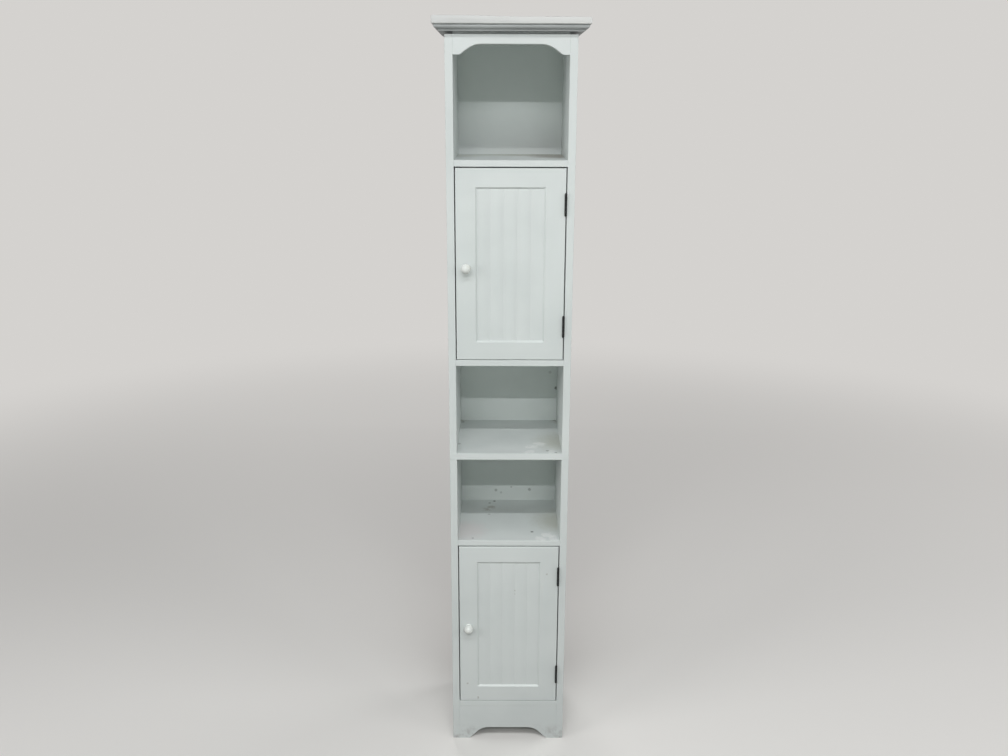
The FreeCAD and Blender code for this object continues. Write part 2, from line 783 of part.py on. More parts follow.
def build_carcass(hinge_screws, catch_screws):
    """Exports the boards, drilled for all that is driven or let into them, and their fittings."""
    cross_dowels = make_cross_dowels()
    stacking_dowels = make_stacking_dowels()
    pins = make_shelf_pins()
    crown_screws = make_crown_screws()
    staples = make_back_staples()
    in_sides = cross_dowels + stacking_dowels + pins + spare_pin_holes() + hinge_screws + staples
    in_boards = cross_dowels + catch_screws + crown_screws + staples
    for unit, bottom, top in (("lower", 0.0, MIDDLE_BOTTOM), ("upper", MIDDLE_TOP, CARCASS_TOP)):
        for name, hand in (("left", -1), ("right", 1)):
            export(unit + "_" + name + "_side", drilled(side_board(hand, bottom, top), in_sides))
    for name, top in BOARDS.items():
        export(name, drilled(shelf_board(top), in_boards))
    export("middle_board", drilled(make_middle_board(), stacking_dowels))
    export("top_panel", drilled(make_top_panel(), in_boards))
    export("valance", drilled(make_valance(), cross_dowels))
    export("plinth_apron", drilled(make_plinth_apron(), cross_dowels))
    export("upper_back_panel", drilled(back_panel(MIDDLE_TOP, CARCASS_TOP), staples))
    export("lower_back_panel", drilled(back_panel(BOTTOM_TOP - SHELF_T, MIDDLE_BOTTOM), staples))
    export("crown_moulding_board", drilled(make_crown_moulding(), crown_screws))
    export("crown_slab", drilled(make_crown_slab(), crown_screws))
    export_group("board_dowels", cross_dowels)
    export_group("stacking_dowels", stacking_dowels)
    export_group("shelf_pins", pins)
    export_group("crown_screws", crown_screws)
    export_group("back_panel_staples", staples)
    export_group("hinge_side_screws", hinge_screws)


def main():
    os.makedirs("parts", exist_ok=True)
    hinge_screws = []
    for door in DOORS:
        side_screws, door_screws = build_hinges(door)
        hinge_screws += side_screws
        build_door(door, door_screws)
        export(door + "_inner_shelf", make_inner_shelf(door))
    build_carcass(hinge_screws, build_catches())


main()
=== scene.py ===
"""Looks of the tall bathroom cabinet: painted boards, worn crown, glossy knobs, black hinges."""
import math

import bpy
from mathutils import Matrix, Vector


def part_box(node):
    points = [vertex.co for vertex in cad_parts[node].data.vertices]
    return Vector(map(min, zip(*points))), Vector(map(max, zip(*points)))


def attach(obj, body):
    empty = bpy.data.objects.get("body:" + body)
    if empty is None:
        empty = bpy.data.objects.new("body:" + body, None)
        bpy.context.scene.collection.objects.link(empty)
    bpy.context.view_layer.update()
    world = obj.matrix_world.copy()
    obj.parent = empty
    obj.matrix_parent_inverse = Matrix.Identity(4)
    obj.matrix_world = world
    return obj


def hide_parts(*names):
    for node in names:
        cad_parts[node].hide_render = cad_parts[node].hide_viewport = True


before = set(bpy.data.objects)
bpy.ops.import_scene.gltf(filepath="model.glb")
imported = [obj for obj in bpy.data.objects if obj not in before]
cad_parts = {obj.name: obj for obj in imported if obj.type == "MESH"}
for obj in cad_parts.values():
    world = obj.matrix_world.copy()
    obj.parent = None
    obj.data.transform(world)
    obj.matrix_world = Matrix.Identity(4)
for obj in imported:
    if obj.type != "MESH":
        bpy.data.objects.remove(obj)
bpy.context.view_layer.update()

# ---- places read from the frame, in metres ----
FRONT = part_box("middle_board")[0].y
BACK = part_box("middle_board")[1].y
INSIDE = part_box("bottom_board")[1].x
MIDDLE_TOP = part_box("middle_board")[1].z
LOWER_BAY_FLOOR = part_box("lower_bay_shelf")[1].z
TOP_BAY_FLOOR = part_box("top_bay_shelf")[1].z
BACK_PANEL_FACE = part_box("upper_back_panel")[0].y
DOORS = ("upper", "lower")
HINGE_PLACES = ("top", "bottom")
MM = 0.001

# ---- knobs ----
KNOB_RADIUS = 12 * MM
KNOB_FOOT_RADIUS = 7.5 * MM
KNOB_NECK_RADIUS = 5 * MM
KNOB_SEGMENTS = 48
BALL_STEPS = 22

# ---- butt hinges ----
LEAF_THICKNESS = 1.2 * MM
MOVING_LEAF_INNER = 0.7 * MM          # from the pin's axis, towards the door
MOVING_LEAF_OUTER = 0.5 * MM          # from the pin's axis, towards the side
PLATE_START = 4.0 * MM                # from the pin's axis back to the plate
FIXED_TONGUE_START = 1.0 * MM
MOVING_TONGUE_START = 1.9 * MM
KNUCKLES = 5                          # the first, third and last are on the fixed leaf
KNUCKLE_CLEARANCE = 0.1 * MM          # at each end of a knuckle
KNUCKLE_RADIUS = 3.0 * MM
FIXED_BORE = 1.8 * MM
PIN_RADIUS = 1.75 * MM
PIN_HALF_LENGTH = 25 * MM
PIN_TIP_RADIUS = 2.4 * MM
PIN_TIP_ANGLES = (0.0, 0.35, 0.7, 1.05, 1.35, 1.54)
ROUND_SEGMENTS = 32                   # of knuckles and pins

# ---- hinge screws ----
SCREW_SPREAD = 0.016                  # of a leaf's screws, up and down from its middle
SCREW_DEPTH = 0.008                   # behind the front of the carcass
SCREW_HEAD = 0.003                    # radius of a head and of its hole in the leaf
SCREW_SHANK = 1.6 * MM                # radius of the shank over its threads
SCREW_SEGMENTS = 24
THREAD_START = 2.4 * MM
THREAD_PITCH = 1.1 * MM
RECESS_LONG = 1.8 * MM                # half length of an arm of the cross recess
RECESS_NARROW = 0.4 * MM              # its half width
RECESS_DEPTH = 1.0 * MM
DOOR_SCREW_LENGTH = 14 * MM
SIDE_SCREW_LENGTH = 11 * MM

# ---- worn crown slab ----
SLAB_SWELLING = 0.0026                # how far the left end has risen
SLAB_CUTS_ALONG = 47
SLAB_CUTS_ACROSS = 19
SLAB_EDGE = 1.4 * MM
SWOLLEN_LENGTH = 60 * MM
SWELLING_FADE = 0.15                  # the rise dies out over this length
RIPPLE_SIZE = 0.022
RIPPLE_HEIGHT = 1.0 * MM

# ---- beadboard grooves ----
BEAD_GROOVES = (-0.0486, -0.0162, 0.0162, 0.0486)
BEAD_HALF_WIDTH = 0.0022              # wider and shallower than cut, for the paint in them
BEAD_DEPTH = 0.0008


# ---------------------------------------------------------------- modelling helpers
def deselect():
    bpy.ops.object.select_all(action="DESELECT")


def named(name):
    piece = bpy.context.object
    piece.name = name
    piece.data.name = name
    return piece


def settle(piece):
    """Puts the piece's place and turn into its mesh."""
    deselect()
    piece.select_set(True)
    bpy.context.view_layer.objects.active = piece
    bpy.ops.object.transform_apply(location=True, rotation=True, scale=True)
    return piece


def outward(piece):
    """Merges doubles and points every face outwards."""
    deselect()
    piece.select_set(True)
    bpy.context.view_layer.objects.active = piece
    bpy.ops.object.mode_set(mode="EDIT")
    bpy.ops.mesh.select_all(action="SELECT")
    bpy.ops.mesh.remove_doubles(threshold=0.00001)
    bpy.ops.mesh.normals_make_consistent(inside=False)
    bpy.ops.object.mode_set(mode="OBJECT")
    return piece


def apply_modifier(piece, modifier):
    deselect()
    piece.select_set(True)
    bpy.context.view_layer.objects.active = piece
    bpy.ops.object.modifier_apply(modifier=modifier.name)


def soften(piece, width, segments=3, angle=35.0):
    """Rounds the sharp edges of a piece."""
    bevel = piece.modifiers.new("soften", "BEVEL")
    bevel.width = width
    bevel.segments = segments
    bevel.limit_method = "ANGLE"
    bevel.angle_limit = math.radians(angle)
    apply_modifier(piece, bevel)
    smooth(piece)
    return piece


def smooth(piece, angle=35.0):
    deselect()
    piece.select_set(True)
    bpy.context.view_layer.objects.active = piece
    bpy.ops.object.shade_smooth_by_angle(angle=math.radians(angle))
    return piece


def turn(name, stations, segments, tube=False):
    """Turned piece along +Z, drawn out ring by ring; stations are (radius, height).

    A tube's last ring is joined to its first; otherwise both ends are closed flat.
    """
    deselect()
    radius, height = stations[0]
    fill = "NOTHING" if tube else "NGON"
    bpy.ops.mesh.primitive_circle_add(
        vertices=segments, radius=radius, fill_type=fill, location=(0, 0, 0),
    )
    piece = named(name)
    bpy.ops.object.mode_set(mode="EDIT")
    bpy.ops.mesh.select_all(action="SELECT")
    bpy.ops.transform.translate(value=(0, 0, height))
    for next_radius, next_height in stations[1:]:
        rise = (0, 0, next_height - height)
        if tube:
            bpy.ops.mesh.extrude_edges_move(TRANSFORM_OT_translate={"value": rise})
        else:
            bpy.ops.mesh.extrude_region_move(TRANSFORM_OT_translate={"value": rise})
        grow = next_radius / radius
        bpy.ops.transform.resize(value=(grow, grow, 1))
        radius, height = next_radius, next_height
    if tube:
        bpy.ops.mesh.select_all(action="DESELECT")
        bpy.ops.mesh.select_mode(type="EDGE")
        bpy.ops.mesh.select_non_manifold()
        bpy.ops.mesh.bridge_edge_loops()
        bpy.ops.mesh.select_mode(type="VERT")
    bpy.ops.object.mode_set(mode="OBJECT")
    return outward(piece)


def place(piece, location, direction=(0, 0, 1)):
    """Stands a piece that was turned along +Z at location, with its axis along direction."""
    piece.rotation_mode = "QUATERNION"
    piece.rotation_quaternion = Vector((0, 0, 1)).rotation_difference(Vector(direction))
    piece.location = location
    return settle(piece)


def slab(name, low, high):
    """Board between two corners."""
    deselect()
    centre = (Vector(low) + Vector(high)) / 2
    bpy.ops.mesh.primitive_cube_add(size=1, location=centre)
    piece = named(name)
    piece.scale = Vector(high) - Vector(low)
    return settle(piece)


def join(name, pieces):
    deselect()
    for piece in pieces:
        piece.select_set(True)
    bpy.context.view_layer.objects.active = pieces[0]
    if len(pieces) > 1:
        bpy.ops.object.join()
    return named(name)


def finish(piece, material, body, slot, *nodes):
    """Gives a modelled piece its finish, its body and the nodes it stands for."""
    piece.data.materials.clear()
    piece.data.materials.append(material)
    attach(piece, body)
    if nodes:
        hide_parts(*nodes)


# ---------------------------------------------------------------- node helpers
class Finish:
    """A node material for one finish; the methods add a node and return its output."""

    def __init__(self, name):
        self.material = bpy.data.materials.new(name)
        self.material.use_nodes = True
        self.tree = self.material.node_tree
        self.shader = self.tree.nodes["Principled BSDF"]
        self.place = self.tree.nodes.new("ShaderNodeTexCoord").outputs["Object"]

    def node(self, kind, **settings):
        made = self.tree.nodes.new(kind)
        for key, value in settings.items():
            setattr(made, key, value)
        return made

    def put(self, value, socket):
        """Links an output, or writes a plain value, into a socket."""
        if isinstance(value, bpy.types.NodeSocket):
            self.tree.links.new(value, socket)
        else:
            socket.default_value = value

    def stretched(self, scale):
        node = self.node("ShaderNodeMapping")
        self.put(self.place, node.inputs["Vector"])
        node.inputs["Scale"].default_value = scale
        return node.outputs["Vector"]

    def noise(self, scale, detail=3.0, roughness=0.5, vector=None):
        node = self.node("ShaderNodeTexNoise")
        self.put(vector or self.place, node.inputs["Vector"])
        node.inputs["Scale"].default_value = scale
        node.inputs["Detail"].default_value = detail
        node.inputs["Roughness"].default_value = roughness
        return node.outputs["Fac"]

    def span(self, value, low, high, to_low=0.0, to_high=1.0):
        """Maps low..high to to_low..to_high, smoothly and held at both ends."""
        node = self.node("ShaderNodeMapRange", interpolation_type="SMOOTHSTEP")
        self.put(value, node.inputs["Value"])
        node.inputs["From Min"].default_value = low
        node.inputs["From Max"].default_value = high
        node.inputs["To Min"].default_value = to_low
        node.inputs["To Max"].default_value = to_high
        return node.outputs["Result"]

    def math(self, operation, first, second=0.0):
        node = self.node("ShaderNodeMath", operation=operation)
        self.put(first, node.inputs[0])
        self.put(second, node.inputs[1])
        return node.outputs[0]

    def mix(self, share, first, second):
        node = self.node("ShaderNodeMix", data_type="RGBA")
        self.put(share, node.inputs["Factor"])
        for value, socket in ((first, node.inputs[6]), (second, node.inputs[7])):
            self.put((*value, 1.0) if isinstance(value, tuple) else value, socket)
        return node.outputs[2]

    def axis(self, letter):
        node = self.node("ShaderNodeSeparateXYZ")
        self.put(self.place, node.inputs[0])
        return node.outputs[letter]

    def facing(self, letter):
        """How far the surface faces along an axis, in the object's own frame."""
        coordinate = self.node("ShaderNodeTexCoord")
        node = self.node("ShaderNodeSeparateXYZ")
        self.put(coordinate.outputs["Normal"], node.inputs[0])
        return node.outputs[letter]

    def near(self, point, radius, fade, wobble=None):
        """1 within radius of a point, fading to 0 over fade."""
        node = self.node("ShaderNodeVectorMath", operation="DISTANCE")
        self.put(self.place, node.inputs[0])
        node.inputs[1].default_value = point
        distance = node.outputs["Value"]
        if wobble is not None:
            distance = self.math("ADD", distance, wobble)
        return self.span(distance, radius, radius + fade, 1.0, 0.0)

    def bump(self, height, strength, distance, before=None):
        node = self.node("ShaderNodeBump")
        node.inputs["Strength"].default_value = strength
        node.inputs["Distance"].default_value = distance
        self.put(height, node.inputs["Height"])
        if before is not None:
            self.put(before, node.inputs["Normal"])
        return node.outputs["Normal"]

    def set(self, **values):
        for key, value in values.items():
            socket = self.shader.inputs[key.replace("_", " ")]
            if isinstance(value, tuple):
                value = (*value, 1.0)
            self.put(value, socket)
        return self.material


# ---------------------------------------------------------------- finishes
PAINT = (0.71, 0.742, 0.73)
PAINT_SHADE = (0.66, 0.694, 0.684)
# dark grime colour, also used as painted shade in the middle bay's rear corners
GRIME_AND_CORNER_SHADE = (0.30, 0.27, 0.22)
SPECK = (0.07, 0.075, 0.07)
FILM = (0.50, 0.51, 0.45)             # thin dirt wiped over the paint
RESIDUE = (0.90, 0.91, 0.90)          # chalky white left by something spilt
TINGE = (0.72, 0.66, 0.66)            # faint pink
FLOOR_DIRT = (0.42, 0.41, 0.40)
SLAB_PAINT = (0.69, 0.69, 0.675)
SLAB_RUBBED = (0.585, 0.585, 0.57)
SLAB_LEFT_END = (0.60, 0.605, 0.60)
SLAB_SCUFF = (0.50, 0.49, 0.47)
# the moulding's two greys are painted shade for the shadow under the crown slab, with dust on top
MOULDING_SHADE_AND_DUST = (0.46, 0.48, 0.478)
MOULDING_DEEP_SHADE_AND_DUST = (0.37, 0.385, 0.385)
HARDBOARD_DARK = (0.20, 0.125, 0.07)
HARDBOARD_LIGHT = (0.30, 0.20, 0.115)
SPECK_FADE = 0.004                    # marks that fade over more than this are loose: dirt films, spills and painted corner shade

# ---- marks of use and painted corner shade, as (colour, place, radius, fade, share) ----
TOP_SHELF_MARKS = (
    (GRIME_AND_CORNER_SHADE, (0.128, 0.05, TOP_BAY_FLOOR), 0.03, 0.08, 0.75),
    (GRIME_AND_CORNER_SHADE, (0.05, 0.13, TOP_BAY_FLOOR), 0.03, 0.08, 0.60),
    (FILM, (-0.125, 0.06, TOP_BAY_FLOOR), 0.02, 0.06, 0.60),
    (FILM, (-0.02, 0.12, TOP_BAY_FLOOR), 0.03, 0.07, 0.60),
)
MIDDLE_BOARD_MARKS = (
    (FILM, (0.138, -0.03, MIDDLE_TOP), 0.02, 0.08, 0.75),
    # painted shade: the middle bay's two rear corners, darkened where the shade gathers
    (GRIME_AND_CORNER_SHADE, (0.14, 0.144, MIDDLE_TOP), 0.004, 0.03, 0.45),
    (GRIME_AND_CORNER_SHADE, (-0.14, 0.144, MIDDLE_TOP), 0.004, 0.03, 0.45),
    (RESIDUE, (0.060, -0.066, MIDDLE_TOP), 0.005, 0.012, 0.60),
    (RESIDUE, (0.079, -0.050, MIDDLE_TOP), 0.006, 0.012, 0.55),
    (RESIDUE, (0.052, -0.104, MIDDLE_TOP), 0.006, 0.010, 0.55),
    (RESIDUE, (0.108, -0.108, MIDDLE_TOP), 0.006, 0.010, 0.45),
    (SPECK, (-0.1256, 0.1264, MIDDLE_TOP), 0.0026, 0.002, 0.60),
    (SPECK, (-0.1297, -0.0475, MIDDLE_TOP), 0.0034, 0.003, 0.35),
    (SPECK, (0.1265, 0.1400, MIDDLE_TOP), 0.0028, 0.002, 0.60),
    (SPECK, (0.0971, -0.0976, MIDDLE_TOP), 0.0030, 0.003, 0.45),
    (SPECK, (0.1181, -0.1112, MIDDLE_TOP), 0.0022, 0.002, 0.55),
)
LOWER_SHELF_MARKS = (
    (FILM, (0.138, 0.00, LOWER_BAY_FLOOR), 0.02, 0.08, 0.75),
    (TINGE, (-0.115, -0.06, LOWER_BAY_FLOOR), 0.02, 0.06, 0.55),
    (GRIME_AND_CORNER_SHADE, (-0.060, 0.078, LOWER_BAY_FLOOR), 0.004, 0.012, 0.55),
    (GRIME_AND_CORNER_SHADE, (-0.047, 0.093, LOWER_BAY_FLOOR), 0.003, 0.012, 0.50),
    (RESIDUE, (0.085, -0.106, LOWER_BAY_FLOOR), 0.007, 0.010, 0.60),
    (RESIDUE, (0.102, -0.086, LOWER_BAY_FLOOR), 0.008, 0.012, 0.60),
    (RESIDUE, (0.116, -0.108, LOWER_BAY_FLOOR), 0.006, 0.010, 0.55),
    (SPECK, (-0.0391, 0.1348, LOWER_BAY_FLOOR), 0.0030, 0.002, 0.75),
    (SPECK, (-0.0527, 0.1212, LOWER_BAY_FLOOR), 0.0026, 0.002, 0.50),
    (SPECK, (-0.0535, 0.0448, LOWER_BAY_FLOOR), 0.0028, 0.002, 0.35),
    (SPECK, (0.0616, -0.0666, LOWER_BAY_FLOOR), 0.0030, 0.0015, 0.90),
    (SPECK, (-0.0937, -0.1050, LOWER_BAY_FLOOR), 0.0022, 0.002, 0.45),
)
BACK_PANEL_MARKS = (
    (SPECK, (0.1300, BACK_PANEL_FACE, 0.9300), 0.0032, 0.002, 0.80),
    (SPECK, (0.1130, BACK_PANEL_FACE, 0.9750), 0.0024, 0.003, 0.25),
    (SPECK, (-0.0350, BACK_PANEL_FACE, 0.6260), 0.0026, 0.003, 0.45),
    (SPECK, (-0.0205, BACK_PANEL_FACE, 0.6190), 0.0022, 0.002, 0.30),
    (SPECK, (0.0600, BACK_PANEL_FACE, 0.6280), 0.0026, 0.003, 0.45),
    (SPECK, (0.0085, BACK_PANEL_FACE, 0.6360), 0.0016, 0.002, 0.35),
)
STILE_MARKS = (
    (GRIME_AND_CORNER_SHADE, (-0.110, FRONT, 0.172), 0.0014, 0.002, 0.45),
    (GRIME_AND_CORNER_SHADE, (0.017, FRONT + 0.006, 0.450), 0.0014, 0.002, 0.40),
    (GRIME_AND_CORNER_SHADE, (0.017, FRONT + 0.006, 0.440), 0.0012, 0.002, 0.35),
    (GRIME_AND_CORNER_SHADE, (0.100, FRONT, 0.500), 0.0014, 0.002, 0.40),
)
RAIL_MARKS = (
    (GRIME_AND_CORNER_SHADE, (-0.083, FRONT, 0.128), 0.0024, 0.003, 0.50),
)


def paint_colour(finish):
    """Cool white paint, slightly uneven from place to place."""
    cloud = finish.span(finish.noise(5.0, 3.0), 0.35, 0.68)
    colour = finish.mix(cloud, PAINT, PAINT_SHADE)
    fleck = finish.span(finish.noise(420.0, 2.0), 0.60, 0.78, 0.0, 0.35)
    return finish.mix(fleck, colour, PAINT_SHADE)


def paint_surface(finish, streaks):
    """Fine roller texture over faint streaks along the board."""
    peel = finish.noise(650.0, 2.0)
    streak = finish.noise(160.0, 3.0, 0.6, finish.stretched(streaks))
    wave = finish.noise(9.0, 1.0)
    normal = finish.bump(wave, 0.25, 0.0012)
    normal = finish.bump(streak, 0.18, 0.0003, normal)
    return finish.bump(peel, 0.22, 0.00018, normal)


def stained_and_shaded(finish, colour, marks_and_shade, lying=False):
    """Lays marks over a colour, real dirt and painted corner shade; each is (colour, place, radius,
    fade, share).

    On a lying board they stay on its upper face.
    """
    upward = finish.span(finish.facing("Z"), 0.6, 0.9) if lying else None
    fine = finish.math("SUBTRACT", finish.noise(330.0, 3.0), 0.5)
    ragged = finish.math("MULTIPLY", fine, 0.004)
    coarse = finish.math("SUBTRACT", finish.noise(60.0, 4.0, 0.65), 0.5)
    loose = finish.math("MULTIPLY", coarse, 0.05)
    for tint, place, radius, fade, share in marks_and_shade:
        wobble = loose if fade > SPECK_FADE else ragged
        spot = finish.math("MULTIPLY", finish.near(place, radius, fade, wobble), share)
        if lying:
            spot = finish.math("MULTIPLY", spot, upward)
        colour = finish.mix(spot, colour, tint)
    return colour


def painted(name, streaks, marks_and_shade=(), lying=False, floor_dirt=False):
    finish = Finish(name)
    colour = paint_colour(finish)
    if marks_and_shade:
        colour = stained_and_shaded(finish, colour, marks_and_shade, lying)
    if floor_dirt:
        low = finish.span(finish.axis("Z"), 0.002, 0.05, 1.0, 0.0)
        blotch = finish.span(finish.noise(38.0, 4.0, 0.6), 0.45, 0.72)
        colour = finish.mix(finish.math("MULTIPLY", low, blotch), colour, FLOOR_DIRT)
    roughness = finish.span(finish.noise(30.0, 4.0), 0.3, 0.7, 0.40, 0.52)
    return finish.set(Base_Color=colour, Roughness=roughness, Normal=paint_surface(finish, streaks))


def crown_finish(name):
    """Warmer, older paint of the crown slab, with rubbed streaks along it and greyed edges."""
    finish = Finish(name)
    streak = finish.span(finish.noise(70.0, 4.0, 0.6, finish.stretched((0.08, 1, 1))), 0.46, 0.72)
    colour = finish.mix(streak, SLAB_PAINT, SLAB_RUBBED)
    left = finish.span(finish.axis("X"), -0.17, 0.1, 0.45, 0.0)
    colour = finish.mix(left, colour, SLAB_LEFT_END)
    scuff = finish.span(finish.noise(260.0, 4.0, 0.7), 0.62, 0.75, 0.0, 0.5)
    colour = finish.mix(scuff, colour, SLAB_SCUFF)
    roughness = finish.span(finish.noise(30.0, 4.0), 0.3, 0.7, 0.48, 0.62)
    normal = finish.bump(streak, 0.35, 0.0004, paint_surface(finish, (0.06, 1, 1)))
    return finish.set(Base_Color=colour, Roughness=roughness, Normal=normal)


def shaded_dusty_moulding(name):
    """Paint of the routed moulding, darkened to paint the shade under the crown slab, with patches
    of dust along it.
    """
    finish = Finish(name)
    # painted shade of the moulding, patchy with dust along it
    shade_and_dust = finish.span(finish.noise(90.0, 4.0, 0.6, finish.stretched((0.1, 1, 1))), 0.35, 0.7)
    colour = finish.mix(shade_and_dust, MOULDING_SHADE_AND_DUST, MOULDING_DEEP_SHADE_AND_DUST)
    return finish.set(Base_Color=colour, Roughness=0.55, Normal=paint_surface(finish, (0.06, 1, 1)))


def back_board(name):
    """Hardboard with a painted face and a bare brown back."""
    finish = Finish(name)
    fibre = finish.mix(finish.noise(300.0, 4.0, 0.7), HARDBOARD_DARK, HARDBOARD_LIGHT)
    behind = finish.span(finish.axis("Y"), BACK - 1.2 * MM, BACK - 0.4 * MM)
    colour = finish.mix(behind, stained_and_shaded(finish, paint_colour(finish), BACK_PANEL_MARKS), fibre)
    roughness = finish.span(behind, 0.0, 1.0, 0.5, 0.85)
    normal = paint_surface(finish, (1, 1, 1))
    return finish.set(Base_Color=colour, Roughness=roughness, Normal=normal)


def gloss_enamel(name):
    finish = Finish(name)
    yellowed = finish.span(finish.noise(60.0), 0.4, 0.7)
    colour = finish.mix(yellowed, (0.80, 0.82, 0.79), (0.76, 0.77, 0.72))
    normal = finish.bump(finish.noise(220.0, 2.0), 0.10, 0.0002)
    roughness = finish.span(finish.noise(150.0, 3.0), 0.35, 0.7, 0.12, 0.24)
    return finish.set(Base_Color=colour, Roughness=roughness, Normal=normal)


def black_steel(name):
    finish = Finish(name)
    worn = finish.span(finish.noise(700.0, 4.0, 0.65), 0.62, 0.74)
    colour = finish.mix(worn, (0.018, 0.018, 0.019), (0.11, 0.085, 0.065))
    roughness = finish.span(finish.noise(260.0, 3.0), 0.3, 0.7, 0.34, 0.5)
    normal = finish.bump(finish.noise(900.0, 3.0), 0.25, 0.0001)
    return finish.set(Base_Color=colour, Roughness=roughness, Metallic=0.6, Normal=normal)


def zinc(name):
    finish = Finish(name)
    colour = finish.mix(finish.noise(500.0, 3.0), (0.46, 0.46, 0.45), (0.62, 0.62, 0.60))
    roughness = finish.span(finish.noise(350.0, 3.0), 0.3, 0.7, 0.26, 0.42)
    normal = finish.bump(finish.noise(1200.0, 2.0), 0.15, 0.0001)
    return finish.set(Base_Color=colour, Roughness=roughness, Metallic=1.0, Normal=normal)


def raw_beech(name):
    finish = Finish(name)
    grain = finish.noise(240.0, 4.0, 0.6, finish.stretched((0.15, 1, 1)))
    colour = finish.mix(grain, (0.50, 0.33, 0.18), (0.66, 0.47, 0.29))
    return finish.set(Base_Color=colour, Roughness=0.7, Normal=finish.bump(grain, 0.3, 0.0002))


def catch_plastic(name):
    finish = Finish(name)
    colour = finish.mix(finish.noise(80.0), (0.78, 0.78, 0.75), (0.72, 0.72, 0.68))
    normal = finish.bump(finish.noise(1500.0, 2.0), 0.2, 0.0001)
    return finish.set(Base_Color=colour, Roughness=0.48, Normal=normal)


def ferrite(name):
    finish = Finish(name)
    colour = finish.mix(finish.noise(900.0, 3.0), (0.035, 0.035, 0.036), (0.06, 0.06, 0.06))
    normal = finish.bump(finish.noise(900.0), 0.2, 0.0001)
    return finish.set(Base_Color=colour, Roughness=0.62, Normal=normal)


# ---------------------------------------------------------------- knobs
def knob_stations(reach, ball_radius, foot_radius, neck_radius):
    """Profile of a knob as (radius, height above the door): foot, waist, neck and ball."""
    stations = [
        (foot_radius, 0.0),
        (foot_radius, 0.9 * MM),
        (foot_radius - 0.4 * MM, 1.3 * MM),
        (neck_radius + 0.9 * MM, 2.0 * MM),
        (neck_radius + 0.2 * MM, 3.2 * MM),
    ]
    start = math.asin(neck_radius / ball_radius)
    for i in range(BALL_STEPS + 1):
        angle = start + (math.radians(178) - start) * i / BALL_STEPS
        height = reach - ball_radius * (1 + math.cos(angle))
        stations.append((ball_radius * math.sin(angle), height))
    return stations


def make_knob(door, material):
    node = door + "_door_knob"
    low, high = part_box(node)
    centre = (low + high) / 2
    profile = knob_stations(high.y - low.y, KNOB_RADIUS, KNOB_FOOT_RADIUS, KNOB_NECK_RADIUS)
    knob = turn(door + "_turned_knob", profile, KNOB_SEGMENTS)
    place(knob, (centre.x, high.y, centre.z), (0, -1, 0))
    smooth(knob, 50.0)
    finish(knob, material, door + "_door", "white_gloss_knob", node)


# ---------------------------------------------------------------- hinges
def make_knuckle(name, axis, low, high, bore):
    height = high - low
    ring = [(KNUCKLE_RADIUS, 0.0), (KNUCKLE_RADIUS, height), (bore, height), (bore, 0.0)]
    piece = turn(name, ring, ROUND_SEGMENTS, tube=True)
    return place(piece, (axis.x, axis.y, low))


def cut(piece, cutter):
    """Takes the cutter's volume out of the piece, and the cutter away."""
    hollow = piece.modifiers.new("hollow", "BOOLEAN")
    hollow.operation = "DIFFERENCE"
    hollow.object = cutter
    apply_modifier(piece, hollow)
    bpy.data.objects.remove(cutter)


def screw_places(axes, face_x):
    """Where the screws of the leaves go: two to a leaf."""
    offsets = (-SCREW_SPREAD, SCREW_SPREAD)
    return [(face_x, FRONT + SCREW_DEPTH, axis.z + offset) for axis in axes for offset in offsets]


def make_leaf(node, axis, first, body, material):
    """Hinge leaf with plate, tongues and knuckles; first is the number of its lowest knuckle."""
    low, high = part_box(node)
    fixed = node.endswith("fixed_leaf")
    if fixed:
        left, right = INSIDE - LEAF_THICKNESS, INSIDE
    else:
        left, right = axis.x - MOVING_LEAF_INNER, axis.x + MOVING_LEAF_OUTER
    plate_front = axis.y + PLATE_START
    plate = slab(node + "_plate", (left, plate_front, low.z), (right, high.y, high.z))
    soften(plate, 0.25 * MM, 2)
    for point in screw_places([axis], left - 0.5 * MM):
        hole = turn(node + "_hole", [(SCREW_HEAD, 0.0), (SCREW_HEAD, 2.5 * MM)], SCREW_SEGMENTS)
        cut(plate, place(hole, point, (1, 0, 0)))
    pieces = [plate]
    pitch = (high.z - low.z) / KNUCKLES
    tongue_start = axis.y + (FIXED_TONGUE_START if fixed else MOVING_TONGUE_START)
    bore = FIXED_BORE if fixed else PIN_RADIUS
    for i in range(first, KNUCKLES, 2):
        start = low.z + i * pitch + KNUCKLE_CLEARANCE
        end = low.z + (i + 1) * pitch - KNUCKLE_CLEARANCE
        tongue_end = plate_front + 0.3 * MM
        tongue = slab(node + "_tongue", (left, tongue_start, start), (right, tongue_end, end))
        knuckle = make_knuckle(node + "_knuckle", axis, start, end, bore)
        soften(knuckle, 0.2 * MM, 2)
        pieces += [tongue, knuckle]
    leaf = join(node + "_steel", pieces)
    smooth(leaf)
    finish(leaf, material, body, "black_hinge_steel", node)


def make_pins(door, axes, material):
    """Hinge pins with a domed tip at both ends."""
    half = PIN_HALF_LENGTH
    dome = [
        (PIN_TIP_RADIUS * math.cos(angle), half + PIN_TIP_RADIUS * math.sin(angle))
        for angle in PIN_TIP_ANGLES
    ]
    stations = [(radius, -height) for radius, height in reversed(dome)]
    stations += [(PIN_RADIUS, -half), (PIN_RADIUS, half)] + dome
    pins = []
    for axis in axes:
        pin = turn(door + "_pin", stations, ROUND_SEGMENTS)
        pins.append(place(pin, axis))
    pins = join(door + "_hinge_pins_steel", pins)
    smooth(pins)
    finish(pins, material, door + "_door", "black_hinge_steel", door + "_door_hinge_pins")


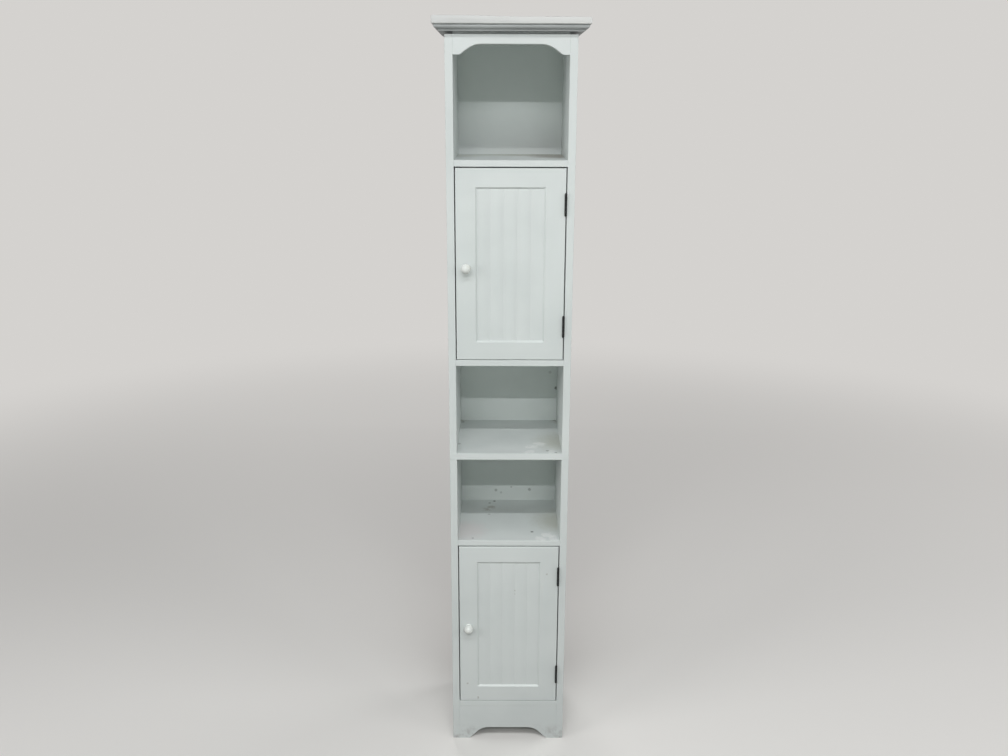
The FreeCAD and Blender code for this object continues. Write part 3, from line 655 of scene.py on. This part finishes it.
def make_screws(node, body, places, direction, length, material):
    """Countersunk wood screws with a cross recess; places are the middles of their faces."""
    stations = [(SCREW_HEAD - 0.3 * MM, -0.08 * MM), (SCREW_HEAD - 0.05 * MM, 0.0)]
    stations += [(SCREW_SHANK, 1.25 * MM), (SCREW_SHANK, THREAD_START)]
    height = THREAD_START
    while height < length - 3.0 * MM:
        stations += [
            (0.75 * SCREW_SHANK, height + 0.3 * MM),
            (SCREW_SHANK, height + 0.9 * MM),
            (SCREW_SHANK, height + THREAD_PITCH),
        ]
        height += THREAD_PITCH
    stations.append((0.3 * MM, length))
    screws = []
    for point in places:
        screw = turn(node + "_screw", stations, SCREW_SEGMENTS)
        for half_x, half_y in ((RECESS_LONG, RECESS_NARROW), (RECESS_NARROW, RECESS_LONG)):
            low = (-half_x, -half_y, -RECESS_DEPTH)
            high = (half_x, half_y, RECESS_DEPTH)
            cut(screw, slab("cross_recess", low, high))
        screws.append(place(screw, point, direction))
    screws = join(node + "_steel", screws)
    smooth(screws)
    finish(screws, material, body, "black_hinge_steel", node)


def make_hinges(door, material):
    """Both hinges of a door and their screws in it; gives back the middles of the pins."""
    pins_low, pins_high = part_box(door + "_door_hinge_pins")
    barrel_x = (pins_low.x + pins_high.x) / 2
    barrel_y = (pins_low.y + pins_high.y) / 2
    axes = []
    for where in HINGE_PLACES:
        stem = door + "_door_" + where + "_hinge_"
        low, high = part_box(stem + "fixed_leaf")
        axis = Vector((barrel_x, barrel_y, (low.z + high.z) / 2))
        axes.append(axis)
        make_leaf(stem + "fixed_leaf", axis, 0, "carcass", material)
        make_leaf(stem + "moving_leaf", axis, 1, door + "_door", material)
    make_pins(door, axes, material)
    places = screw_places(axes, axes[0].x + MOVING_LEAF_OUTER)
    node = door + "_door_hinge_screws"
    make_screws(node, door + "_door", places, (-1, 0, 0), DOOR_SCREW_LENGTH, material)
    return axes


# ---------------------------------------------------------------- worn crown slab
def divide(piece, axis, cuts):
    """Divides the edges that run along an axis."""
    deselect()
    piece.select_set(True)
    bpy.context.view_layer.objects.active = piece
    bpy.ops.object.mode_set(mode="EDIT")
    bpy.ops.mesh.select_mode(type="EDGE")
    bpy.ops.mesh.select_all(action="DESELECT")
    bpy.ops.object.mode_set(mode="OBJECT")
    points = piece.data.vertices
    for edge in piece.data.edges:
        first, second = (points[i].co[axis] for i in edge.vertices)
        edge.select = abs(first - second) > 0.01
    bpy.ops.object.mode_set(mode="EDIT")
    bpy.ops.mesh.subdivide(number_cuts=cuts)
    bpy.ops.mesh.select_mode(type="VERT")
    bpy.ops.object.mode_set(mode="OBJECT")


def pick(piece, wanted):
    """Selects the points of a piece for which wanted(place) is true."""
    bpy.ops.object.mode_set(mode="EDIT")
    bpy.ops.mesh.select_all(action="DESELECT")
    bpy.ops.object.mode_set(mode="OBJECT")
    for point in piece.data.vertices:
        point.select = wanted(point.co)
    bpy.ops.object.mode_set(mode="EDIT")


def make_worn_slab(material):
    """Crown slab whose left end has swollen, with soft uneven edges."""
    low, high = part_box("crown_slab")
    piece = slab("worn_crown_slab", low, high)
    divide(piece, 0, SLAB_CUTS_ALONG)
    divide(piece, 1, SLAB_CUTS_ACROSS)
    soften(piece, SLAB_EDGE, 3)
    middle = (low.z + high.z) / 2
    pick(piece, lambda place: place.z < middle)
    bpy.ops.mesh.hide()
    bpy.ops.object.mode_set(mode="OBJECT")
    pick(piece, lambda place: place.z > middle and place.x < low.x + SWOLLEN_LENGTH)
    bpy.ops.transform.translate(
        value=(0, 0, SLAB_SWELLING), use_proportional_edit=True,
        proportional_edit_falloff="SMOOTH", proportional_size=SWELLING_FADE,
    )
    bpy.ops.mesh.reveal()
    bpy.ops.object.mode_set(mode="OBJECT")
    ripple = bpy.data.textures.new("slab_ripple", "CLOUDS")
    ripple.noise_scale = RIPPLE_SIZE
    ripple.noise_depth = 2
    uneven = piece.modifiers.new("uneven", "DISPLACE")
    uneven.texture = ripple
    uneven.texture_coords = "LOCAL"
    uneven.strength = RIPPLE_HEIGHT
    uneven.mid_level = 0.5
    apply_modifier(piece, uneven)
    smooth(piece)
    finish(piece, material, "carcass", "white_painted_board", "crown_slab")


# ---------------------------------------------------------------- beadboard panels
def make_beadboard(door, material):
    """Door panel whose V grooves the paint has half filled."""
    node = door + "_door_beadboard_panel"
    low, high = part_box(node)
    panel = slab(door + "_beadboard", low, high)
    bpy.ops.object.mode_set(mode="EDIT")
    for groove in BEAD_GROOVES:
        for offset in (-BEAD_HALF_WIDTH, 0.0, BEAD_HALF_WIDTH):
            bpy.ops.mesh.select_all(action="SELECT")
            bpy.ops.mesh.bisect(plane_co=(groove + offset, 0, 0), plane_no=(1, 0, 0))
    bpy.ops.object.mode_set(mode="OBJECT")
    front = low.y + 0.1 * MM

    def groove_bottom(place):
        return place.y < front and min(abs(place.x - x) for x in BEAD_GROOVES) < 0.2 * MM

    pick(panel, groove_bottom)
    bpy.ops.transform.translate(value=(0, BEAD_DEPTH, 0))
    bpy.ops.object.mode_set(mode="OBJECT")
    outward(panel)
    smooth(panel, 30.0)
    finish(panel, material, door + "_door", "white_painted_frame", node)


# ---------------------------------------------------------------- dressing
def dress(material, *nodes):
    for node in nodes:
        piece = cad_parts[node]
        piece.data.materials.clear()
        piece.data.materials.append(material)


def dress_boards():
    upright = (1, 1, 0.06)
    across = (0.06, 1, 1)
    sides = painted("side_paint", upright, floor_dirt=True)
    dress(sides, "upper_left_side", "upper_right_side", "lower_left_side", "lower_right_side")
    shelves = painted("shelf_paint", across)
    dress(shelves, "upper_cupboard_floor", "bottom_board", "top_panel")
    dress(shelves, "upper_inner_shelf", "lower_inner_shelf")
    dress(painted("top_shelf_paint", across, TOP_SHELF_MARKS, lying=True), "top_bay_shelf")
    dress(painted("middle_board_paint", across, MIDDLE_BOARD_MARKS, lying=True), "middle_board")
    dress(painted("lower_shelf_paint", across, LOWER_SHELF_MARKS, lying=True), "lower_bay_shelf")
    fronts = painted("arched_front_paint", across, floor_dirt=True)
    dress(fronts, "valance", "plinth_apron")
    dress(shaded_dusty_moulding("moulding_paint"), "crown_moulding_board")
    dress(back_board("back_panel_board"), "upper_back_panel", "lower_back_panel")


def dress_doors():
    stile = painted("door_stile_paint", (1, 1, 0.06), STILE_MARKS)
    rail = painted("door_rail_paint", (0.06, 1, 1), RAIL_MARKS)
    for door in DOORS:
        stem = door + "_door_"
        dress(stile, stem + "hinge_stile", stem + "knob_stile")
        make_beadboard(door, stile)
        dress(rail, stem + "top_rail", stem + "bottom_rail")


def dress_fittings():
    steel = black_steel("hinge_steel")
    plated = zinc("zinc_plate")
    dress(plated, "shelf_pins", "crown_screws", "back_panel_staples")
    dress(plated, "catch_screws", "catch_pole_plates")
    for door in DOORS:
        stem = door + "_door_"
        dress(plated, stem + "knob_screw", stem + "strike_plate", stem + "strike_screw")
    dress(raw_beech("beech"), "board_dowels", "stacking_dowels")
    dress(catch_plastic("catch_case_plastic"), "upper_catch_case", "lower_catch_case")
    dress(ferrite("catch_magnet_ferrite"), "catch_magnets")
    return steel


# ---------------------------------------------------------------- studio
BACKDROP = (0.66, 0.645, 0.625)
FLOOR_SHOWN = (0.80, 0.78, 0.755)
FLOOR_SHADE = (0.22, 0.21, 0.20)      # what the floor throws back on the cabinet
FLOOR_SIZE = 60
CAMERA_PLACE = (-0.0201, FRONT - 2.2668, 1.6937)
CAMERA_YAW = 0.156                    # degrees
CAMERA_PITCH = 16.239
CAMERA_ROLL = 0.197
CAMERA_LENS = 34.25
CAMERA_SHIFT = 0.00055


def make_floor():
    deselect()
    bpy.ops.mesh.primitive_plane_add(size=FLOOR_SIZE, location=(0, 0, 0))
    floor = named("studio_floor")
    surface = Finish("pale_floor")
    path = surface.node("ShaderNodeLightPath").outputs
    seen = surface.math("MAXIMUM", path["Is Camera Ray"], path["Is Glossy Ray"])
    seen = surface.math("MAXIMUM", seen, path["Is Transmission Ray"])
    surface.set(Base_Color=surface.mix(seen, FLOOR_SHADE, FLOOR_SHOWN), Roughness=0.9)
    far = surface.node("ShaderNodeVectorMath", operation="LENGTH")
    surface.put(surface.place, far.inputs[0])
    share = surface.span(far.outputs["Value"], 1.2, 4.5)
    glow = surface.node("ShaderNodeEmission")
    glow.inputs["Color"].default_value = (*BACKDROP, 1.0)
    blend = surface.node("ShaderNodeMixShader")
    surface.put(surface.math("MULTIPLY", share, seen), blend.inputs[0])
    surface.put(surface.shader.outputs[0], blend.inputs[1])
    surface.put(glow.outputs[0], blend.inputs[2])
    surface.put(blend.outputs[0], surface.tree.nodes["Material Output"].inputs["Surface"])
    floor.data.materials.append(surface.material)


def light_world():
    world = bpy.data.worlds.new("studio_world")
    bpy.context.scene.world = world
    world.use_nodes = True
    tree = world.node_tree
    soft = tree.nodes["Background"]
    soft.inputs["Color"].default_value = (0.93, 0.97, 1.0, 1.0)
    soft.inputs["Strength"].default_value = 0.03
    shown = tree.nodes.new("ShaderNodeBackground")
    shown.inputs["Color"].default_value = (*BACKDROP, 1.0)
    path = tree.nodes.new("ShaderNodeLightPath")
    mix = tree.nodes.new("ShaderNodeMixShader")
    tree.links.new(path.outputs["Is Camera Ray"], mix.inputs[0])
    tree.links.new(soft.outputs[0], mix.inputs[1])
    tree.links.new(shown.outputs[0], mix.inputs[2])
    tree.links.new(mix.outputs[0], tree.nodes["World Output"].inputs["Surface"])


def add_lamp(name, location, target, width, height, watts, colour=(1, 1, 1)):
    lamp = bpy.data.lights.new(name, "AREA")
    lamp.shape = "RECTANGLE"
    lamp.size = width
    lamp.size_y = height
    lamp.energy = watts
    lamp.color = colour
    holder = bpy.data.objects.new(name, lamp)
    holder.location = location
    aim = Vector(target) - Vector(location)
    holder.rotation_mode = "QUATERNION"
    holder.rotation_quaternion = aim.to_track_quat("-Z", "Y")
    bpy.context.scene.collection.objects.link(holder)


def light_object():
    """Long ceiling tubes in front, whose shadow edges are level, and soft lamps for every side."""
    tube = (3.6, 0.08)
    large = (1.6, 1.6)
    small = (0.6, 0.6)
    cool = (0.97, 0.99, 1.0)
    near_white = (0.98, 0.99, 1.0)
    greenish = (0.86, 1.0, 0.9)
    add_lamp("near_tube", (0, FRONT - 2.55, 4.13), (0, FRONT - 2.0, 0), *tube, 74, cool)
    add_lamp("far_tube", (0, FRONT - 4.88, 4.13), (0, 0, 0.3), *tube, 88, near_white)
    add_lamp("left_fill", (-2.6, FRONT - 1.5, 1.9), (0, 0, 0.9), *large, 30)
    add_lamp("right_fill", (2.6, FRONT - 1.5, 1.9), (0, 0, 0.9), *large, 22)
    add_lamp("front_fill", (0, FRONT - 1.7, 1.15), (0, 0, 1.15), *small, 3.4, greenish)
    add_lamp("right_back_fill", (3.2, 1.4, 2.2), (0, 0, 1.0), *large, 30)
    add_lamp("back_fill", (-0.8, 3.4, 2.6), (0, 0, 1.0), *large, 40)


def add_camera():
    """Camera of the photograph: at head height, looking down at the cabinet."""
    data = bpy.data.cameras.new("camera")
    data.sensor_fit = "HORIZONTAL"
    data.sensor_width = 36.0
    data.lens = CAMERA_LENS
    data.clip_end = 200.0
    data.shift_y = CAMERA_SHIFT
    camera = bpy.data.objects.new("camera", data)
    yaw = math.radians(CAMERA_YAW)
    pitch = math.radians(CAMERA_PITCH)
    roll = math.radians(CAMERA_ROLL)
    where = Matrix.Translation(CAMERA_PLACE)
    turned = Matrix.Rotation(-yaw, 4, "Z") @ Matrix.Rotation(math.pi / 2 - pitch, 4, "X")
    camera.matrix_world = where @ turned @ Matrix.Rotation(roll, 4, "Z")
    bpy.context.scene.collection.objects.link(camera)
    bpy.context.scene.camera = camera


def main():
    dress_boards()
    dress_doors()
    steel = dress_fittings()
    enamel = gloss_enamel("knob_enamel")
    axes = []
    for door in DOORS:
        make_knob(door, enamel)
        axes += make_hinges(door, steel)
    places = screw_places(axes, INSIDE - LEAF_THICKNESS)
    make_screws("hinge_side_screws", "carcass", places, (1, 0, 0), SIDE_SCREW_LENGTH, steel)
    make_worn_slab(crown_finish("worn_crown_paint"))
    make_floor()
    light_world()
    light_object()
    add_camera()
    bpy.context.scene.view_settings.view_transform = "Standard"


main()
